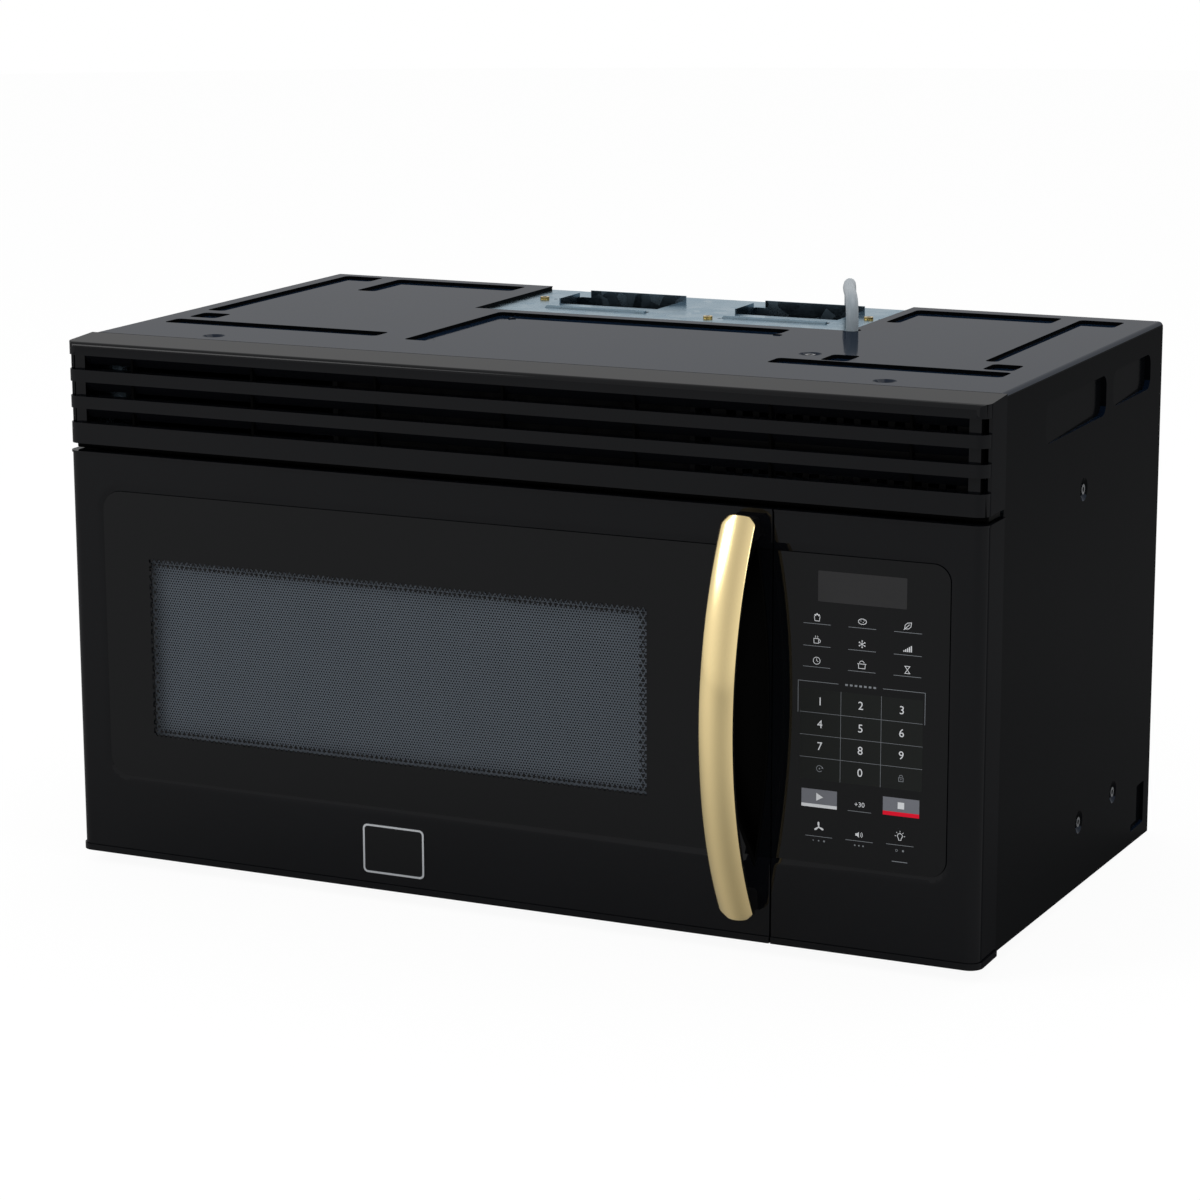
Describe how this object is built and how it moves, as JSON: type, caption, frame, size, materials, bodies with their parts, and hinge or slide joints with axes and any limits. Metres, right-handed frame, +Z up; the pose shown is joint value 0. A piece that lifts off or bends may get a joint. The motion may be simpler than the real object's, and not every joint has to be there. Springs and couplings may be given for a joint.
{
  "type": "over the range microwave oven",
  "caption": "Over-the-range microwave oven: left-hinged glass door with a bowed handle, louvred vent grille, touch controls, blower vent and turntable.",
  "frame": {"origin": "middle of the footprint, on the surface under the base, the mains lead left out", "axes": "+X to the right seen from the front, -Y towards the user, +Z up"},
  "size_m": [0.7614, 0.6365, 0.4516],
  "materials": {
    "case_black": "satin black enamel over pressed steel",
    "galvanised": "zinc coated sheet, dull",
    "grey_enamel": "light grey oven enamel",
    "gloss_black": "gloss black moulding",
    "satin_black": "fine satin black moulding",
    "door_glass": "smoked tempered glass, black printed border",
    "clear_glass": "clear tempered glass",
    "panel_glass": "black printed glass with white legends",
    "display_window": "smoked display window",
    "screen": "black perforated steel",
    "gold": "satin champagne metal",
    "badge": "brushed metal, dark tint",
    "steel": "bright zinc plated",
    "brass_screw": "yellow passivated",
    "filter": "layered aluminium mesh",
    "filter_frame": "charcoal filter frame and media",
    "white_plastic": "natural white moulding",
    "motor_steel": "zinc plated motor can",
    "board": "green circuit board with parts",
    "lamp_glass": "clear lamp glass",
    "lens": "fluted clear lens",
    "grey_cord": "grey jacket, smooth"
  },
  "bodies": {
    "case": {"back_plate": "case_black", "base_pan": "galvanised", "blower_housings": "galvanised", "blower_motor": "motor_steel", "cabinet_nuts": "galvanised", "capacitor": "motor_steel", "case_screws": "steel", "cavity_box": "grey_enamel", "cavity_lamp": "lamp_glass", "charcoal_filter": "filter_frame", "component_shelf": "galvanised", "control_board": "board", "control_panel": "gloss_black", "cooktop_lamps": "lamp_glass", "cooling_fan_motor": "motor_steel", "cooling_fan_shroud": "galvanised", "cord_coil": "grey_cord", "cord_gland": "grey_cord", "display_window": "display_window", "door_hinges": "case_black", "exhaust_plate": "galvanised", "exhaust_screws": "brass_screw", "front_frame": "case_black", "interlock_bracket": "satin_black", "interlock_switches": "satin_black", "magnetron": "motor_steel", "outer_case": "case_black", "panel_glass": "panel_glass", "plug": "grey_cord", "power_cord": "grey_cord", "transformer": "motor_steel", "turntable_motor": "motor_steel", "vent_grille": "gloss_black", "vent_screen": "galvanised", "waveguide": "galvanised", "waveguide_cover": "white_plastic"},
    "door": {"door_frame": "gloss_black", "door_glass": "door_glass", "finger_pocket": "satin_black", "door_screen": "screen", "door_inner_panel": "screen", "choke_cover": "satin_black", "inner_window": "clear_glass", "handle_bar": "gold", "handle_liner": "satin_black", "badge_plate": "badge"},
    "latch": {"latch_hook": "satin_black", "latch_spring": "steel"},
    "coupler": {"drive_coupler": "white_plastic"},
    "tray": {"glass_tray": "clear_glass"},
    "ring": {"roller_ring": "white_plastic"},
    "roller_a": {"roller_1": "white_plastic"},
    "roller_b": {"roller_2": "white_plastic"},
    "roller_c": {"roller_3": "white_plastic"},
    "blower_rotor": {"blower_shaft": "steel", "blower_wheels": "white_plastic"},
    "cooling_fan": {"cooling_fan_blade": "white_plastic"},
    "filter_left": {"grease_filter_left": "filter"},
    "filter_right": {"grease_filter_right": "filter"},
    "lamp_cover": {"light_cover": "lens"}
  },
  "joints": [
    {"name": "door_hinge", "type": "hinge", "parent": "case", "child": "door", "pos_m": [-0.371, -0.1575, 0.173], "axis": [0, 0, -1], "range_deg": [0, 100]},
    {"name": "latch_slide", "type": "slide", "parent": "door", "child": "latch", "axis": [0, 0, 1], "range_m": [0, 0.005], "stiffness_N_per_m": 400, "springref_m": -0.003, "deforming": ["latch_spring"]},
    {"name": "coupler_spin", "type": "hinge", "parent": "case", "child": "coupler", "pos_m": [-0.085, 0.0299, 0.075], "axis": [0, 0, 1], "continuous": true},
    {"name": "tray_lift", "type": "slide", "parent": "coupler", "child": "tray", "axis": [0, 0, 1], "range_m": [0, 0.03]},
    {"name": "ring_spin", "type": "hinge", "parent": "case", "child": "ring", "pos_m": [-0.085, 0.0299, 0.073], "axis": [0, 0, 1], "continuous": true},
    {"name": "roller_a_spin", "type": "hinge", "parent": "ring", "child": "roller_a", "pos_m": [-0.085, 0.1269, 0.073], "axis": [0, 1, 0], "continuous": true},
    {"name": "roller_b_spin", "type": "hinge", "parent": "ring", "child": "roller_b", "pos_m": [-0.169, -0.0186, 0.073], "axis": [-0.866, -0.5, 0], "continuous": true},
    {"name": "roller_c_spin", "type": "hinge", "parent": "ring", "child": "roller_c", "pos_m": [-0.001, -0.0186, 0.073], "axis": [0.866, -0.5, 0], "continuous": true},
    {"name": "blower_spin", "type": "hinge", "parent": "case", "child": "blower_rotor", "pos_m": [0.003, 0.1525, 0.3619], "axis": [1, 0, 0], "continuous": true},
    {"name": "cooling_fan_spin", "type": "hinge", "parent": "case", "child": "cooling_fan", "pos_m": [0.275, 0.1995, 0.235], "axis": [0, 1, 0], "continuous": true},
    {"name": "filter_left_slide", "type": "slide", "parent": "case", "child": "filter_left", "axis": [0, 0, -1], "range_m": [0, 0.06]},
    {"name": "filter_right_slide", "type": "slide", "parent": "case", "child": "filter_right", "axis": [0, 0, -1], "range_m": [0, 0.06]},
    {"name": "lamp_cover_hinge", "type": "hinge", "parent": "case", "child": "lamp_cover", "pos_m": [0, -0.0425, 0.0058], "axis": [1, 0, 0], "range_deg": [0, 90]}
  ],
  "couplings": [
    {"joint": "ring_spin", "follows": "coupler_spin", "ratio": 0.5},
    {"joint": "roller_a_spin", "follows": "coupler_spin", "ratio": -7.2388},
    {"joint": "roller_b_spin", "follows": "coupler_spin", "ratio": -7.2388},
    {"joint": "roller_c_spin", "follows": "coupler_spin", "ratio": -7.2388}
  ]
}
